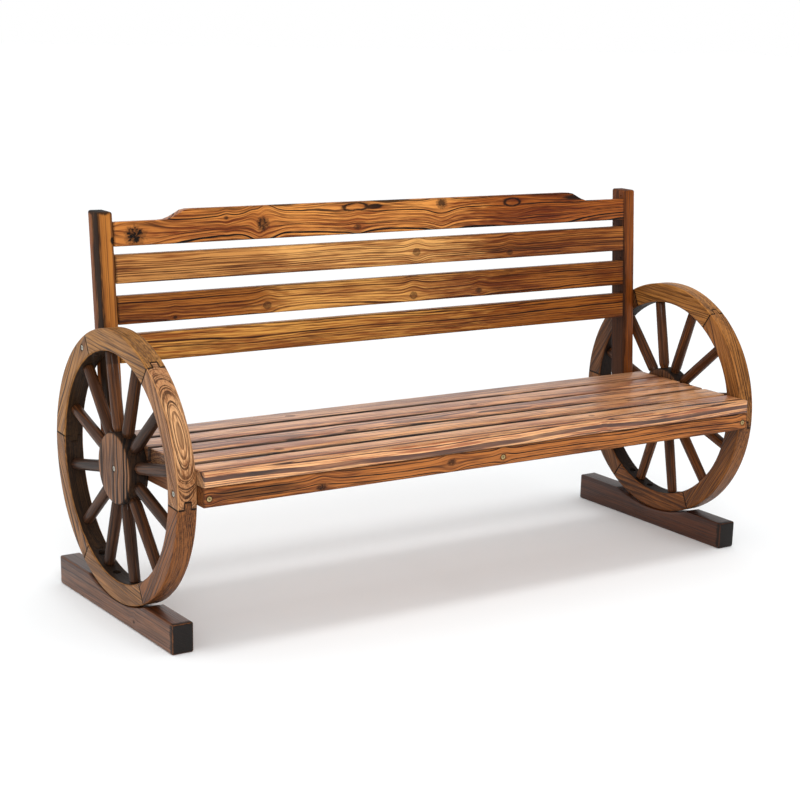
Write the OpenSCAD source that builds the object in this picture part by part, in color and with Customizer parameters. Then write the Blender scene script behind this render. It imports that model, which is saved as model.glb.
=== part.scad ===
// Wagon wheel garden bench in charred fir: two spoked wheels on low feet carry
// a slatted seat and a slatted, slightly reclined back. X runs along the seat,
// the front of the bench faces -Y, the floor is z = 0, all sizes in millimetres.

/* [Seat] */
// Length of the seat between the wheels
seat_len = 1340; // [900:10:1800]
// Depth of the slatted seat, front to back
seat_depth = 360; // [300:5:460]
// Height of the seat's top above the floor
seat_h = 356; // [330:1:400]
// Number of seat slats
seat_slats = 5; // [4:1:7]
// Gap between neighbouring seat slats
seat_gap = 7.5; // [4:0.5:12]
// Thickness of the seat slats
seat_slat_t = 29; // [20:1:36]
// Height of the rails and the apron under the slats
rail_h = 36; // [32:1:60]
// Thickness of the front apron
apron_t = 28; // [20:1:36]
// Thickness of the rear rail
rear_rail_t = 28; // [20:1:36]
// Width of the two side rails
side_rail_w = 36; // [30:1:50]
// Width of the rail under the middle of the seat
centre_rail_w = 44; // [30:1:70]

/* [Back] */
// Height of the post tops above the floor
post_top = 770; // [700:5:900]
// Width of a post, seen from the front
post_w = 32; // [26:1:50]
// Depth of a post, seen from the side
post_d = 46; // [36:1:70]
// Lean of the back, in degrees
back_lean = 4.5; // [2:0.5:8]
// From the seat's rear edge to the posts, at seat height
post_setback = 27.5; // [18:0.5:40]
// Radius on the ends of the posts
post_round = 6; // [3:0.5:10]
// Thickness of the back slats
back_slat_t = 24; // [16:1:32]
// Height of each plain back slat
back_slat_h = 55.5; // [40:0.5:60]
// Step from the posts' front faces back to the slats
back_inset = 1; // [0.5:0.5:6]
// Lower edge of the lowest back slat above the floor
back_low = 480; // [460:1:500]
// Gap above the lowest back slat
gap_low = 19; // [8:1:22]
// Gap above the second back slat
gap_mid = 23; // [8:1:26]
// Gap under the shaped top rail
gap_top = 15; // [6:1:20]
// Height of the top rail at its ends
top_end_h = 47; // [35:1:50]
// Rise of the top rail's crown above its ends
crown_rise = 19.5; // [8:0.5:22]
// Width of the raised crown
crown_w = 966; // [500:2:1000]
// Width of the curved shoulder beside the crown
shoulder_w = 52; // [30:1:80]

/* [Wheels] */
// Diameter of a wheel
wheel_d = 532; // [480:2:620]
// Thickness of the rim and the hub
wheel_t = 40; // [32:1:60]
// Radial width of the rim
rim_w = 43; // [36:1:56]
// Height of the wheel's lowest point above the floor
wheel_lift = 38; // [34:1:48]
// Felloes in one rim
felloes = 6; // [5:1:8]
// Turn from a rim screw on to the felloe joint past it
joint_past_screw = 5.8; // [5:0.2:9]
// Length of the tongue in a felloe joint
tongue_len = 14; // [8:1:20]
// Thickness of that tongue
tongue_t = 13.4; // [8:0.2:18]
// Rounding of the rim's edges
rim_round = 4; // [1:0.5:7]
// Diameter of a hub
hub_d = 140; // [120:2:180]
// Rounding of the hub's edges
hub_round = 4; // [1:0.5:8]
// Diameter of a spoke above its neck
spoke_d = 24.5; // [20:0.5:28]
// Diameter of a spoke where it enters the hub
spoke_root_d = 19; // [16:0.5:24]
// Depth of the sockets in the hub
root_depth = 20; // [12:1:24]
// Diameter of a spoke's shoulder against the rim
spoke_tip_d = 22.5; // [18:0.5:24]
// Length over which a spoke swells from its neck
spoke_swell = 14; // [6:1:30]
// Rounding of a spoke's shoulder at the rim
spoke_end_round = 3; // [1:0.5:5]
// Diameter of the round tenons in the rim
tenon_d = 14; // [10:0.5:16]
// Length of those tenons
tenon_len = 16; // [10:1:22]

/* [Feet] */
// Length of a foot, front to back
foot_len = 504; // [420:2:600]
// Width of a foot
foot_w = 45; // [41:1:70]
// Height of a foot
foot_h = 60; // [52:1:64]
// How far the seat's front stands ahead of the feet
seat_overhang = 52; // [30:1:90]
// How far the wheel's centre lies ahead of the foot's middle
wheel_ahead = 16; // [0:1:30]
// Radius of the hollow that the wheel stands in
notch_r = 345; // [320:5:420]
// How far the hollow's middle lies behind the wheel's centre
notch_back = 6; // [0:1:12]
// Rounding of the foot's upper ends
foot_end_round = 7; // [2:0.5:12]
// Rounding of the foot's long upper edges
foot_round = 4; // [1:0.5:8]

/* [Screws] */
// Shank diameter of the wheel and frame screws
screw_d = 5; // [4:0.2:6]
// Head diameter of those screws
screw_head_d = 10; // [8:0.2:12]
// Reach of the wheel screws past the wheel
wheel_screw_reach = 23; // [15:1:24]
// Length of the apron screws
apron_screw_len = 50; // [40:1:51]
// Length of the screw from the rear rail into the centre rail
centre_screw_len = 52; // [45:1:60]
// Length of the screws through the posts
post_screw_len = 72; // [60:1:76]
// Length of the screws into the ends of the rear rail
rail_screw_len = 75; // [60:1:90]
// From the tread to the rim screws
rim_screw_in = 19; // [17:1:26]
// Rise of the front rim screws above the middle of the side rails
rim_screw_rise = 4.5; // [0:0.5:9]
// From the posts' front faces back to their rim screws
rim_screw_back = 18; // [12:1:30]
// From the seat's ends to the outer apron screws
apron_screw_end = 12; // [9:1:20]
// Drop of the apron screws below the rails' middle
apron_screw_drop = 2; // [0:1:6]
// From the middle of the seat to the rear rail's own screw
centre_screw_side = 12; // [10:1:16]
// Shank diameter of the slat screws
slat_screw_d = 4; // [3:0.2:5]
// Head diameter of the slat screws
slat_screw_head_d = 8; // [6:0.2:9]
// Reach of the slat screws into a slat
slat_screw_reach = 20; // [12:1:24]
// Depth of the counterbores under the rails for the slat screws
slat_screw_sink = 8; // [4:1:14]
// From the rear edge of the first slat to its screws
front_slat_screw = 10; // [8:1:16]
// Shank diameter of the foot bolts
bolt_d = 8; // [6:0.5:10]
// Head diameter of the foot bolts
bolt_head_d = 14; // [11:0.5:18]
// Height of those heads
bolt_head_h = 5; // [3:0.5:7]
// Depth at which those heads lie below the rim's inner face
bolt_sink = 9; // [6:0.5:14]
// From the spoke between the foot bolts to the front one
bolt_ahead = 35; // [28:1:42]
// From that spoke to the rear one
bolt_behind = 30; // [26:1:34]
// How far a bolt stops above the floor
bolt_stop = 12; // [8:1:20]

/* [Fits] */
// Clearance round screws, tenons and tongues
fit = 0.2; // [0.1:0.05:0.4]
// Eased edge along the boards
board_ease = 3; // [1:0.5:5]

/* [Hidden] */

// heights and depths that follow from the sizes above
rail_top = seat_h - seat_slat_t;
rail_low = rail_top - rail_h;
rail_mid = (rail_top + rail_low) / 2;
overall_depth = foot_len + seat_overhang;
seat_front = -overall_depth / 2;
seat_rear = seat_front + seat_depth;
slat_w = (seat_depth - (seat_slats - 1) * seat_gap) / seat_slats;
slat_pitch = slat_w + seat_gap;
post_y = seat_rear + post_setback;

// wheel places
wheel_r = wheel_d / 2;
rim_in = wheel_r - rim_w;
hub_r = hub_d / 2;
foot_front = seat_front + seat_overhang;
foot_mid = foot_front + foot_len / 2;
wheel_y = foot_mid - wheel_ahead;
wheel_z = wheel_lift + wheel_r;
wheel_x = seat_len / 2 + wheel_t / 2;
felloe_turn = 360 / felloes;
spokes = 2 * felloes;

// the hollow of a foot nearly touches the wheel at one line
notch_y = wheel_y + notch_back;
notch_z = wheel_z + sqrt(pow(notch_r - wheel_r - fit, 2) - pow(notch_back, 2));
foot_mid_x = seat_len / 2 + wheel_t - foot_w / 2;

// screws through a wheel, as [radius, turn]: hub, rim into the post, rim into
// the side rail; the rear one meets the post a set depth behind its front face
rim_screw_r = wheel_r - rim_screw_in;
post_ahead = post_y + rim_screw_back - wheel_y + (wheel_z - seat_h) * tan(back_lean);
rear_screw_turn = acos(post_ahead * cos(back_lean) / rim_screw_r) - back_lean;
front_screw_turn = 180 - asin((rail_mid + rim_screw_rise - wheel_z) / rim_screw_r);
wheel_spots = [[0, 0], [rim_screw_r, rear_screw_turn], [rim_screw_r, front_screw_turn]];

// the wheel is turned, by whole degrees, until its joints lie just past both rim screws
turn_apart = (front_screw_turn - rear_screw_turn) % felloe_turn;
last_screw_turn = turn_apart < felloe_turn / 2 ? front_screw_turn : rear_screw_turn;
joint_turn = round(last_screw_turn + joint_past_screw) % felloe_turn;
function spoke_turn(k) = joint_turn + (k - 1 / 2) * felloe_turn / 2;

// bolts through the rim into a foot, one on each side of the spoke that stands
// just behind the wheel's lowest point, measured back from the wheel's centre
low_turn = 276;
low_spoke = spoke_turn(ceil((low_turn - joint_turn) * 2 / felloe_turn + 1 / 2));
bolt_back = [rim_in * cos(low_spoke) - bolt_ahead, rim_in * cos(low_spoke) + bolt_behind];

// long screws of the seat frame: [x, y, z, turn about z, length]
side_x = seat_len / 2 - side_rail_w / 2;
apron_screw_z = rail_mid - apron_screw_drop;
rear_rail_y = seat_rear - rear_rail_t / 2;
post_screw_z = rail_mid;
post_back_y = post_y - (seat_h - post_screw_z) * tan(back_lean) + post_d / cos(back_lean);
frame_spots = [
    for (sx = [-1, 0, 1])
        [sx * (seat_len / 2 - apron_screw_end), seat_front, apron_screw_z, 180, apron_screw_len],
    [centre_screw_side, seat_rear, rail_mid, 0, centre_screw_len],
    for (sx = [-1, 1]) [sx * seat_len / 2, rear_rail_y, rail_mid, -sx * 90, rail_screw_len],
    for (sx = [-1, 1]) [sx * side_x, post_back_y, post_screw_z, 0, post_screw_len]];

lots = 100;      // reach of a cut past what it cuts

// points of an arc, and a rectangle with its corners rounded
function arc(x, y, r, a, b, n = 4) =
    [for (i = [0:n]) [x + r * cos(a + (b - a) * i / n), y + r * sin(a + (b - a) * i / n)]];
function round_rect(x0, y0, x1, y1, low, high) = concat(
    arc(x0 + low, y0 + low, low, 180, 270), arc(x1 - low, y0 + low, low, 270, 360),
    arc(x1 - high, y1 - high, high, 0, 90), arc(x0 + high, y1 - high, high, 90, 180));

// board along X: y0 and z0 are its lower front edge
module board(len, y0, z0, d, h, low = board_ease, high = board_ease) {
    translate([-len / 2, 0, 0]) rotate([90, 0, 90]) linear_extrude(len)
        polygon(round_rect(y0, z0, y0 + d, z0 + h, low, high));
}

// countersunk screw: its head's top is at the origin, its shank points down
module screw(len, d, head_d, grow = 0) {
    head_h = (head_d - d) / 2;
    rotate_extrude($fn = 32) polygon([[0, 0], [head_d / 2 + grow, 0],
        [d / 2 + grow, -head_h], [d / 2 + grow, -len + d], [0, -len - grow]]);
}
module screw_hole(len, d, head_d) {
    screw(len, d, head_d, fit);
    translate([0, 0, -fit / 4]) cylinder(h = lots, d = head_d + 2 * fit, $fn = 32);
}

// a wheel's own frame: its axle is local Z, turn 0 is the bench's back, 90 is up
module wheel_frame(side) {
    translate([side * wheel_x, wheel_y, wheel_z]) rotate([90, 0, 90]) children();
}
module at_wheel_screw(side, spot) {
    wheel_frame(side) rotate([0, 0, spot[1]]) translate([spot[0], 0, 0])
        rotate([0, side > 0 ? 0 : 180, 0]) translate([0, 0, wheel_t / 2 - fit]) children();
}
wheel_screw_len = wheel_t + wheel_screw_reach;
module wheel_screw_holes(side) {
    for (spot = wheel_spots) at_wheel_screw(side, spot)
        screw_hole(wheel_screw_len, screw_d, screw_head_d);
}

// foot bolts: the head lies in a counterbore in the rim's inner face
function bolt_seat_z(back) = wheel_z - sqrt(pow(rim_in, 2) - pow(back, 2)) - bolt_sink;
module at_foot_bolt(side, back) {
    translate([side * wheel_x, wheel_y + back, bolt_seat_z(back)]) children();
}
module foot_bolt_holes(side) {
    for (back = bolt_back) at_foot_bolt(side, back) {
        cylinder(h = lots, d = bolt_head_d + 4 * fit, $fn = 48);
        translate([0, 0, bolt_stop - fit - bolt_seat_z(back)])
            cylinder(h = bolt_seat_z(back), d = bolt_d + 2 * fit, $fn = 48);
    }
}

// part of a ring between two turns
module ring_part(points, from, to) {
    rotate([0, 0, from]) rotate_extrude(angle = to - from, $fn = 180) polygon(points);
}
function turn_of(length) = length / wheel_r * 180 / PI;

// felloe: one curved length of the rim, with a tongue that enters the felloe
// before it, a slot for the tongue of the next one and two spoke sockets
module felloe(side, k) {
    from = joint_turn + (k - 1) * felloe_turn;
    to = from + felloe_turn;
    rim = round_rect(rim_in, -wheel_t / 2, wheel_r, wheel_t / 2, rim_round, rim_round);
    color("peru") difference() {
        wheel_frame(side) difference() {
            union() {
                ring_part(rim, from + turn_of(fit / 2), to - turn_of(fit / 2));
                ring_part([[rim_in, -tongue_t / 2], [wheel_r, -tongue_t / 2],
                    [wheel_r, tongue_t / 2], [rim_in, tongue_t / 2]],
                    from - turn_of(tongue_len), from + turn_of(fit + 1));
            }
            ring_part([[rim_in - rim_w, -tongue_t / 2 - fit], [wheel_r + rim_w, -tongue_t / 2 - fit],
                [wheel_r + rim_w, tongue_t / 2 + fit], [rim_in - rim_w, tongue_t / 2 + fit]],
                to - turn_of(tongue_len + fit), to + turn_of(tongue_len));
            for (n = [1, 2]) rotate([0, 0, spoke_turn(2 * (k - 1) + n)])
                translate([rim_in - rim_w, 0, 0]) rotate([0, 90, 0])
                    cylinder(h = rim_w + tenon_len + fit, d = tenon_d + 2 * fit, $fn = 48);
        }
        wheel_screw_holes(side);
        foot_bolt_holes(side);
    }
}

// spoke: a turned bar, necked at the hub, with a shoulder and tenon at the rim
module spoke(side, k) {
    turn = spoke_turn(k);
    root = spoke_root_d / 2;
    body = spoke_d / 2;
    tip = spoke_tip_d / 2;
    face = tip - spoke_end_round;
    seat = sqrt(pow(rim_in, 2) - pow(face, 2)) - fit / 4;
    side_line = concat([[0, hub_r - root_depth], [root, hub_r - root_depth], [root, hub_r],
        for (i = [1:5]) [root + (body - root) * sin(90 * i / 5), hub_r + spoke_swell * i / 5]],
        [for (i = [0:5]) [face + spoke_end_round * cos(90 * i / 5),
            seat - spoke_end_round * (1 - sin(90 * i / 5))]],
        [[tenon_d / 2, seat], [tenon_d / 2, rim_in + tenon_len - 1],
        [tenon_d / 2 - 1, rim_in + tenon_len], [0, rim_in + tenon_len]]);
    color("saddlebrown") wheel_frame(side) rotate([0, 0, turn]) rotate([0, 90, 0])
        rotate_extrude($fn = 48) polygon(side_line);
}

// hub: a turned block with a socket for each spoke and its screw in the middle
module hub(side) {
    half = wheel_t / 2;
    color("sienna") difference() {
        wheel_frame(side) difference() {
            rotate_extrude($fn = 120) polygon(concat([[0, -half]],
                arc(hub_r - hub_round, -half + hub_round, hub_round, 270, 360),
                arc(hub_r - hub_round, half - hub_round, hub_round, 0, 90), [[0, half]]));
            for (k = [1:spokes]) rotate([0, 0, spoke_turn(k)])
                translate([hub_r - root_depth - fit, 0, 0]) rotate([0, 90, 0])
                    cylinder(h = hub_r, d = spoke_root_d + 2 * fit, $fn = 48);
        }
        wheel_screw_holes(side);
    }
}

// foot: a low runner with rounded ends and a hollow for the wheel
module foot(side) {
    foot_back = foot_front + foot_len;
    color("saddlebrown") difference() {
        intersection() {
            translate([side * foot_mid_x - foot_w / 2, 0, 0]) rotate([90, 0, 90]) linear_extrude(foot_w)
                polygon(concat([[foot_front, 0], [foot_back, 0]],
                    arc(foot_back - foot_end_round, foot_h - foot_end_round, foot_end_round, 0, 90),
                    arc(foot_front + foot_end_round, foot_h - foot_end_round, foot_end_round, 90, 180)));
            translate([side * foot_mid_x, foot_back + 1, 0]) rotate([90, 0, 0]) linear_extrude(foot_len + 2)
                polygon(round_rect(-foot_w / 2, 0, foot_w / 2, foot_h, foot_round / 4, foot_round));
        }
        translate([side * foot_mid_x - foot_w, notch_y, notch_z]) rotate([0, 90, 0])
            cylinder(h = 2 * foot_w, r = notch_r, $fn = 240);
        foot_bolt_holes(side);
    }
}

// long screws of the frame, and the holes that they need
module at_frame_screw(spot) {
    translate([spot[0], spot[1], spot[2]]) rotate([0, 0, spot[3]]) rotate([-90, 0, 0])
        translate([0, 0, -fit]) children();
}
module frame_screw_holes() {
    for (spot = frame_spots) at_frame_screw(spot) screw_hole(spot[4], screw_d, screw_head_d);
}

// slat screws rise from counterbores under the side and centre rails
function slat_front(k) = seat_front + (k - 1) * slat_pitch;
function slat_screw_y(k) = slat_front(k) + (k == 1 ? slat_w - front_slat_screw : slat_w / 2);
slat_screw_len = rail_h - slat_screw_sink + slat_screw_reach;
module at_slat_screws(k) {
    for (x = [-side_x, 0, side_x])
        translate([x, slat_screw_y(k), rail_low + slat_screw_sink]) rotate([180, 0, 0]) children();
}
module slat_screw_holes() {
    for (k = [1:seat_slats]) at_slat_screws(k)
        screw_hole(slat_screw_len, slat_screw_d, slat_screw_head_d);
}

// seat slat: an eased board across all the rails
module seat_slat(k) {
    color("tan") difference() {
        board(seat_len, slat_front(k), rail_top, slat_w, seat_slat_t);
        at_slat_screws(k) screw_hole(slat_screw_len, slat_screw_d, slat_screw_head_d);
    }
}

// front apron: under the first slat, flush with its front edge
module front_apron() {
    color("sienna") difference() {
        board(seat_len, seat_front, rail_low, apron_t, rail_h, board_ease, board_ease / 3);
        frame_screw_holes();
    }
}

// rear rail: between the side rails, flush with the last slat's rear edge
module rear_rail() {
    color("sienna") difference() {
        board(seat_len - 2 * side_rail_w, seat_rear - rear_rail_t, rail_low, rear_rail_t, rail_h,
            board_ease / 3, board_ease / 3);
        frame_screw_holes();
    }
}

// side rail: from the apron back to the post, its rear end cut to the post's lean
module side_rail(side) {
    rear_low = post_y - (seat_h - rail_low) * tan(back_lean);
    rear_top = post_y - (seat_h - rail_top) * tan(back_lean);
    color("sienna") difference() {
        translate([side * side_x - side_rail_w / 2, 0, 0]) rotate([90, 0, 90])
            linear_extrude(side_rail_w) polygon([[seat_front + apron_t, rail_low], [rear_low, rail_low],
                [rear_top, rail_top], [seat_front + apron_t, rail_top]]);
        frame_screw_holes();
        slat_screw_holes();
        wheel_screw_holes(side);
    }
}

// centre rail: carries the middle of every slat
module centre_rail() {
    color("sienna") difference() {
        translate([-centre_rail_w / 2, seat_front + apron_t, rail_low])
            cube([centre_rail_w, seat_depth - apron_t - rear_rail_t, rail_h]);
        frame_screw_holes();
        slat_screw_holes();
    }
}

// the back's own frame leans about the posts' front faces at seat height
module back_frame() {
    translate([0, post_y, seat_h]) rotate([-back_lean, 0, 0]) children();
}
function along(z) = (z - seat_h) / cos(back_lean);

// post: leans with the back, flat at the foot, rounded at the top
module post(side) {
    x = side * (seat_len / 2 - post_w / 2);
    rise = post_top - rail_low;
    run = rise * tan(back_lean);
    low_y = post_y - (seat_h - rail_low) * tan(back_lean);
    deep = post_d / cos(back_lean);
    color("chocolate") difference() {
        intersection() {
            translate([x - post_w / 2, 0, 0]) rotate([90, 0, 90]) linear_extrude(post_w)
                polygon(concat([[low_y, rail_low], [low_y + deep, rail_low]],
                    arc(low_y + run + deep - post_round, post_top - post_round, post_round, back_lean, 90),
                    arc(low_y + run + post_round, post_top - post_round, post_round, 90, 180)));
            translate([x, post_y + lots + deep, 0]) rotate([90, 0, 0]) linear_extrude(3 * lots)
                polygon(round_rect(-post_w / 2, rail_low, post_w / 2, post_top, 1, post_round));
        }
        frame_screw_holes();
        wheel_screw_holes(side);
    }
}

// plain back slat between the posts
back_len = seat_len - 2 * post_w;
back_starts = [back_low, back_low + back_slat_h + gap_low,
    back_low + 2 * back_slat_h + gap_low + gap_mid,
    back_low + 3 * back_slat_h + gap_low + gap_mid + gap_top];
module back_slat(k) {
    color("peru") back_frame()
        board(back_len, back_inset, along(back_starts[k - 1]), back_slat_t, back_slat_h,
            board_ease / 2, board_ease / 2);
}

// top rail: low ends, hollow shoulders and a raised crown
module top_rail() {
    end_x = back_len / 2;
    crown_x = crown_w / 2;
    foot_x = crown_x + shoulder_w;
    slope = atan(crown_rise / shoulder_w * 1.35);
    hollow_r = 60;
    straight = [foot_x - hollow_r * sin(slope), top_end_h + hollow_r * (1 - cos(slope))];
    shoulder = concat(
        [for (i = [0:6]) [foot_x - hollow_r * sin(slope * i / 6),
            top_end_h + hollow_r * (1 - cos(slope * i / 6))]],
        [[straight[0] - (top_end_h + crown_rise - straight[1]) / tan(slope), top_end_h + crown_rise]]);
    outline = concat([[-end_x, 0], [end_x, 0], [end_x, top_end_h]], shoulder,
        [for (i = [len(shoulder) - 1:-1:0]) [-shoulder[i][0], shoulder[i][1]]], [[-end_x, top_end_h]]);
    color("peru") back_frame()
        translate([0, back_inset + back_slat_t, along(back_starts[3])]) rotate([90, 0, 0])
            linear_extrude(back_slat_t) polygon(outline);
}

// screws that hold the wheels to the seat and the posts
module wheel_screws() {
    color("silver") for (side = [-1, 1]) for (spot = wheel_spots)
        at_wheel_screw(side, spot) screw(wheel_screw_len, screw_d, screw_head_d);
}

// bolts that hold the wheels to the feet
module foot_bolts() {
    color("silver") for (side = [-1, 1]) for (back = bolt_back) at_foot_bolt(side, back) {
        cylinder(h = bolt_head_h, d = bolt_head_d, $fn = 48);
        translate([0, 0, bolt_stop - bolt_seat_z(back)])
            cylinder(h = bolt_seat_z(back) - bolt_stop + 1, d = bolt_d, $fn = 48);
    }
}

// screws of the seat frame and the posts
module frame_screws() {
    color("silver") for (spot = frame_spots)
        at_frame_screw(spot) screw(spot[4], screw_d, screw_head_d);
}

// screws that hold the seat slats from below
module slat_screws() {
    color("silver") for (k = [1:seat_slats])
        at_slat_screws(k) screw(slat_screw_len, slat_screw_d, slat_screw_head_d);
}

foot(-1);  // left_foot
foot(1);  // right_foot
for (k = [1:felloes]) {
    felloe(-1, k);
    felloe(1, k);
}
hub(-1);  // left_hub
hub(1);  // right_hub
for (k = [1:spokes]) {
    spoke(-1, k);
    spoke(1, k);
}
for (k = [1:seat_slats])
    seat_slat(k);
front_apron();
rear_rail();
side_rail(-1);  // left_side_rail
side_rail(1);  // right_side_rail
centre_rail();
post(-1);  // left_post
post(1);  // right_post
for (k = [1:3])
    back_slat(k);
top_rail();
wheel_screws();
foot_bolts();
frame_screws();
slat_screws();
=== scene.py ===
import math

import bmesh
import bpy
from mathutils import Matrix, Vector, noise


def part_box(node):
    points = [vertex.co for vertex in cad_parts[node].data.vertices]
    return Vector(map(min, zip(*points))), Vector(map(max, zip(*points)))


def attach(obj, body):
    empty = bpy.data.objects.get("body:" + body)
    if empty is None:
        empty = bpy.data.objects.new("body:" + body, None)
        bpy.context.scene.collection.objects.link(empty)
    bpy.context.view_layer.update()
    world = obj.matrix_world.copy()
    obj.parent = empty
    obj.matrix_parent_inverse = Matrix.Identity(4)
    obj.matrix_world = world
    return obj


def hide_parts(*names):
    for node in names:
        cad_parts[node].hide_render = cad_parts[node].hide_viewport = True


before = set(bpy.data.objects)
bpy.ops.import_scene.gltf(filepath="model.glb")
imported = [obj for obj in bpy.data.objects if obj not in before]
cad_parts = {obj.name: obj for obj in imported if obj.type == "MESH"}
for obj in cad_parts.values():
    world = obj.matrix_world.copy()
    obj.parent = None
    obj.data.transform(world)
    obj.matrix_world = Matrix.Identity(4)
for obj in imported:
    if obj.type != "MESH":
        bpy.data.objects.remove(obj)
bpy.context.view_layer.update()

# The two runner feet are lengths of 45 x 60 mm fir, laid front to back, with
# rounded ends and a hollow in which the wheel stands, bolted down. They are
# charred and varnished dark brown, and their end grain has burnt nearly black.


def start_from_nothing():
    """Leaves edit mode with nothing selected."""
    if bpy.context.object and bpy.context.object.mode != "OBJECT":
        bpy.ops.object.mode_set(mode="OBJECT")
    bpy.ops.object.select_all(action="DESELECT")


def take_up(piece):
    """Makes a piece the active one, and the only one selected."""
    start_from_nothing()
    piece.select_set(True)
    bpy.context.view_layer.objects.active = piece


def settle(piece, name, node):
    """Applies the piece's place, ties it to the bench and hides the node it stands for."""
    take_up(piece)
    bpy.ops.object.transform_apply(location=True, rotation=True, scale=True)
    piece.name = name
    piece.data.name = name
    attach(piece, "root")
    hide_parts(node)


def apply_modifier(piece, kind, **settings):
    """Adds a modifier, applies it, and leaves the mesh as it then is."""
    take_up(piece)
    modifier = piece.modifiers.new(kind.lower(), kind)
    for key, value in settings.items():
        setattr(modifier, key, value)
    bpy.ops.object.modifier_apply(modifier=modifier.name)


def cylinder(radius, depth, middle, turn=(0, 0, 0), sides=48):
    """A cylinder, alone and selected."""
    start_from_nothing()
    bpy.ops.mesh.primitive_cylinder_add(vertices=sides, radius=radius, depth=depth, location=middle,
                                        rotation=turn)
    return bpy.context.object


def block(scale, turn=(0, 0, 0)):
    """A block about the origin, alone and selected."""
    start_from_nothing()
    bpy.ops.mesh.primitive_cube_add(size=1, location=(0, 0, 0), rotation=turn, scale=scale)
    return bpy.context.object


def cut_away(piece, cutter):
    """Cuts one shape out of a piece, and removes that shape."""
    apply_modifier(piece, "BOOLEAN", operation="DIFFERENCE", object=cutter, solver="EXACT")
    bpy.data.objects.remove(cutter)


def choose(piece, edges=None, faces=None):
    """Enters edit mode with only the edges or faces selected that pass a test."""
    take_up(piece)
    bpy.ops.object.mode_set(mode="EDIT")
    bpy.ops.mesh.select_all(action="DESELECT")
    bpy.ops.mesh.select_mode(type="EDGE" if edges else "FACE")
    mesh = bmesh.from_edit_mesh(piece.data)
    for part in mesh.edges if edges else mesh.faces:
        if (edges or faces)(part):
            part.select_set(True)
    mesh.select_flush_mode()
    bmesh.update_edit_mesh(piece.data)


def sawn_bar(low, high, along, cuts, turn=(0, 0, 0)):
    """A bar from corner to corner, cut into short lengths along one axis."""
    bar = block([b - a for a, b in zip(low, high)])
    bpy.ops.object.transform_apply(scale=True)
    bar.location = [(a + b) / 2 for a, b in zip(low, high)]
    bar.rotation_euler = turn
    choose(bar, edges=lambda e: abs((e.verts[0].co - e.verts[1].co)[along]) > 1e-6)
    bpy.ops.mesh.subdivide(number_cuts=cuts)
    bpy.ops.object.mode_set(mode="OBJECT")
    return bar


def ease(piece, width, steps=3, angle=50):
    """Rounds the sharp edges of a piece, as a plane and sandpaper do."""
    apply_modifier(piece, "BEVEL", width=width, segments=steps, limit_method="ANGLE",
                   angle_limit=math.radians(angle), harden_normals=False)


def weather(piece, depth, seed, grain):
    """Presses the surface in a little, unevenly, as handwork and brushing do."""
    mesh = piece.data
    normals = [v.normal.copy() for v in mesh.vertices]
    shift = Vector((seed * 3.1, seed * 1.7, seed * 0.9))
    for vertex, normal in zip(mesh.vertices, normals):
        at = Vector(a * b for a, b in zip(vertex.co, grain)) + shift
        vertex.co -= normal * depth * (0.5 + 0.5 * noise.noise(at))
    mesh.update()


def smooth(piece, angle):
    """Smooth shading, broken at edges sharper than the angle."""
    take_up(piece)
    bpy.ops.object.shade_smooth_by_angle(angle=math.radians(angle))


def brush(piece, name, node, depth, seed, grain, angle=35):
    """Settles a wooden piece in its place and gives it its brushed surface."""
    settle(piece, name, node)
    weather(piece, depth, seed, grain)
    smooth(piece, angle)


def tint(red, green, blue):
    """A colour given as it looks on screen, from 0 to 255, made linear."""
    def linear(c):
        c = c / 255
        return c / 12.92 if c <= 0.04045 else ((c + 0.055) / 1.055) ** 2.4
    return (linear(red), linear(green), linear(blue), 1)


class Number:
    """A number that shader nodes work out, for use in sums like any other."""

    def __init__(self, socket):
        self.socket = socket

    def __add__(self, other):
        return calc("ADD", self, other)

    def __radd__(self, other):
        return calc("ADD", other, self)

    def __sub__(self, other):
        return calc("SUBTRACT", self, other)

    def __rsub__(self, other):
        return calc("SUBTRACT", other, self)

    def __mul__(self, other):
        return calc("MULTIPLY", self, other)

    def __truediv__(self, other):
        return calc("DIVIDE", self, other)

    def __pow__(self, other):
        return calc("POWER", self, other)

    def __abs__(self):
        return calc("ABSOLUTE", self)


def tree_of(*values):
    """The node tree that works out the first value that isn't a plain one."""
    sockets = [v.socket if isinstance(v, Number) else v for v in values]
    return next(s.id_data for s in sockets if isinstance(s, bpy.types.NodeSocket))


def put(tree, kind, inputs=None, **settings):
    """Adds a shader node, with its settings and with what each input takes."""
    made = tree.nodes.new("ShaderNode" + kind)
    for key, value in settings.items():
        setattr(made, key, value)
    fill(made.inputs, inputs or {})
    return made


def fill(sockets, values):
    """Links each value that nodes work out to its socket, and sets the plain ones."""
    for key, value in values.items():
        value = value.socket if isinstance(value, Number) else value
        if isinstance(value, bpy.types.NodeSocket):
            tree_of(value).links.new(value, sockets[key])
        elif value is not None:
            sockets[key].default_value = value


def calc(operation, *values, clamp=False):
    """One sum of numbers, some of which nodes work out."""
    return Number(put(tree_of(*values), "Math", dict(enumerate(values)),
                      operation=operation, use_clamp=clamp).outputs[0])


def highest(*values):
    """The highest of some numbers."""
    top = values[0]
    for value in values[1:]:
        top = calc("MAXIMUM", top, value)
    return top


def vector_calc(operation, *values):
    """One sum of vectors."""
    return put(tree_of(*values), "VectorMath", dict(enumerate(values)), operation=operation).outputs["Vector"]


def split(vector):
    """The three numbers of a vector."""
    return [Number(part) for part in put(tree_of(vector), "SeparateXYZ", {0: vector}).outputs]


def join(x, y, z):
    """A vector of three numbers."""
    return put(tree_of(x, y, z), "CombineXYZ", {"X": x, "Y": y, "Z": z}).outputs[0]


def ramp(value, low, high, to_low=0.0, to_high=1.0):
    """A soft step from one value to another."""
    made = put(tree_of(value), "MapRange", {"Value": value, "From Min": low, "From Max": high,
                                            "To Min": to_low, "To Max": to_high},
               interpolation_type="SMOOTHSTEP")
    return Number(made.outputs["Result"])


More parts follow.
